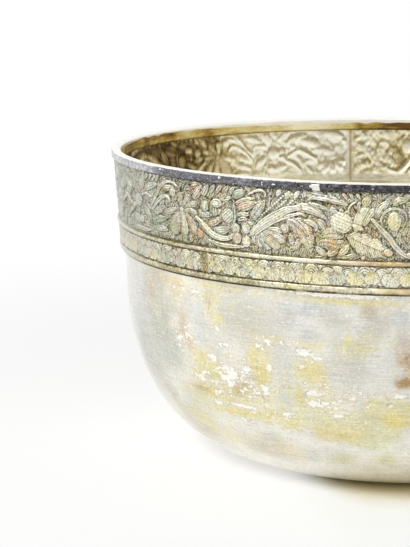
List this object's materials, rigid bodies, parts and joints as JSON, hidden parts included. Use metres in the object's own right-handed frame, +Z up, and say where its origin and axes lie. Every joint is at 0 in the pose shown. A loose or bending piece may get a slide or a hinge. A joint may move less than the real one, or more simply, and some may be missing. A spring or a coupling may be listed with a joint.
{
  "type": "offering bowl",
  "caption": "Round offering bowl of worn silver plate with a flat base, an embossed floral band, a beaded leaf border and a plain rounded lip.",
  "frame": {"origin": "middle of the flat underside", "axes": "+Z up along the bowl's axis; -Y is the front, where the rim seam shows a little to the left"},
  "size_m": [0.19, 0.19, 0.0985],
  "materials": {
    "bowl_plate": "worn silver plate",
    "chased_plate": "tarnished silver plate",
    "bead_wire": "worn silver plate",
    "rim_plate": "dark tarnished silver",
    "seam_solder": "bright solder"
  },
  "bodies": {
    "root": {"bowl_body": "bowl_plate", "floral_band": "chased_plate", "floral_band_solder": "seam_solder", "upper_bead": "bead_wire", "leaf_border": "chased_plate", "leaf_border_solder": "seam_solder", "lower_bead": "bead_wire", "rim_strip": "rim_plate", "rim_strip_solder": "seam_solder", "lip_ring": "rim_plate"}
  },
  "joints": []
}
